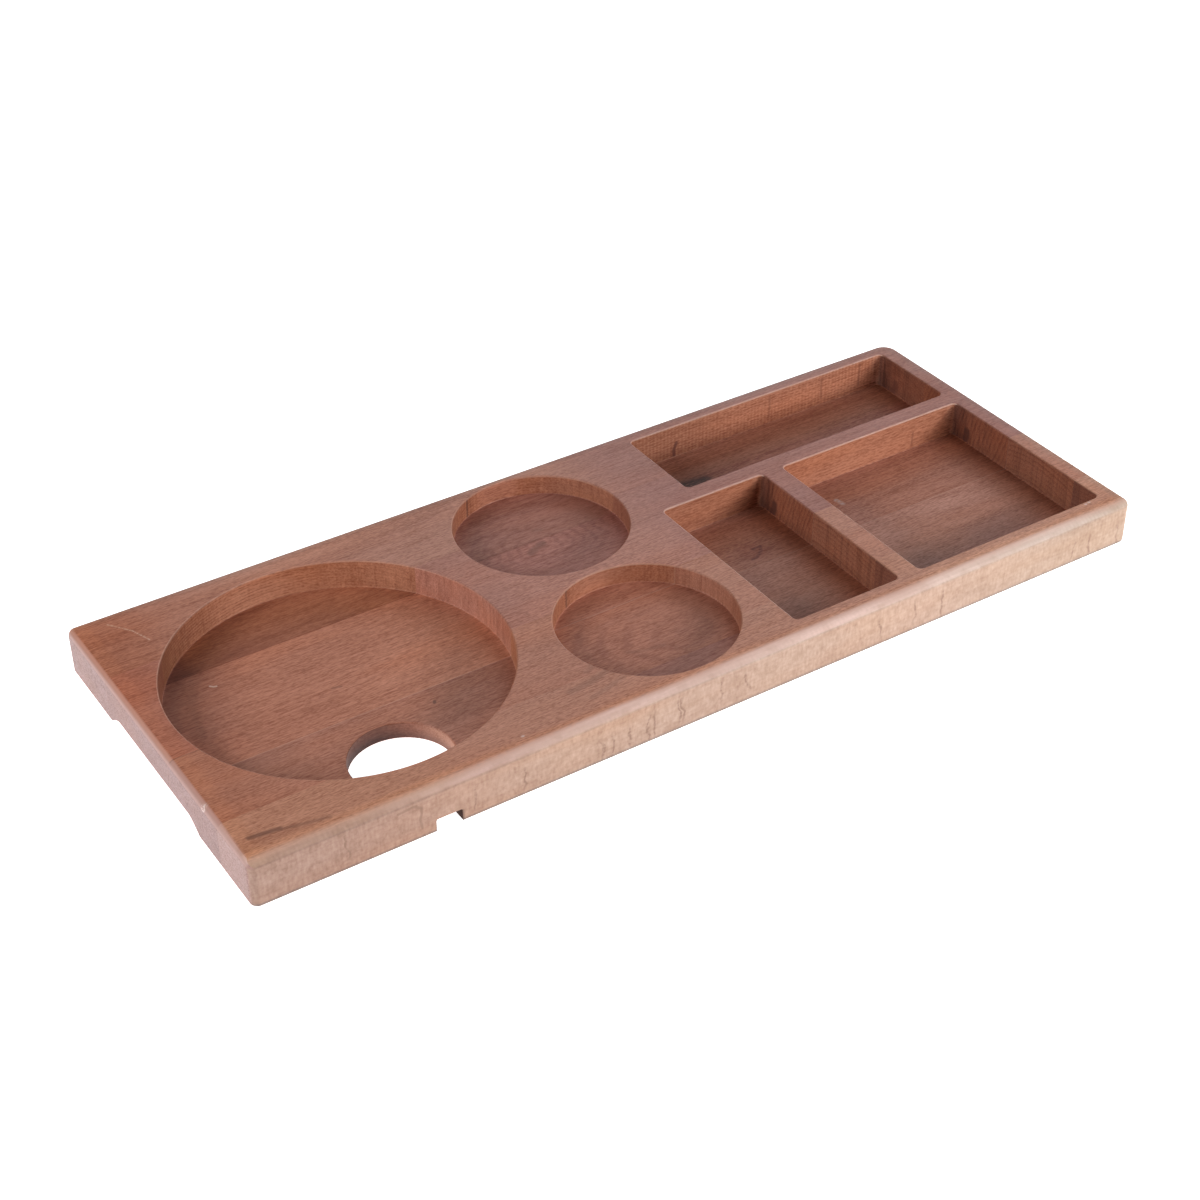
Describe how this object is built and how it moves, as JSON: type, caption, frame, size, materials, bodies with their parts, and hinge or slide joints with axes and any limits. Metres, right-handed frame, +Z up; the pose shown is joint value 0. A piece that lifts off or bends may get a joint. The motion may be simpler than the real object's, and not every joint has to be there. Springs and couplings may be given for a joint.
{
  "type": "hospitality tray",
  "caption": "Oblong wooden serving tray of edge-glued staves, routed with a round kettle recess and cable outlet, round cup recesses and square-cornered sachet pockets.",
  "frame": {"origin": "centre of the underside, on the surface that the tray stands on", "axes": "+X along the length and the grain, from the kettle end to the pocket end; +Y across the width, from the front edge with the cable groove to the back edge; +Z up"},
  "size_m": [0.502, 0.2, 0.0252],
  "materials": {
    "beech_back": "satin, oiled steamed beech, darker heartwood tone",
    "beech_centre": "satin, oiled steamed beech",
    "beech_inner_front": "satin, oiled steamed beech",
    "beech_front": "satin, oiled steamed beech, lighter sapwood tone"
  },
  "bodies": {
    "root": {"back_stave": "beech_back", "centre_stave": "beech_centre", "inner_front_stave": "beech_inner_front", "front_stave": "beech_front"}
  },
  "joints": []
}
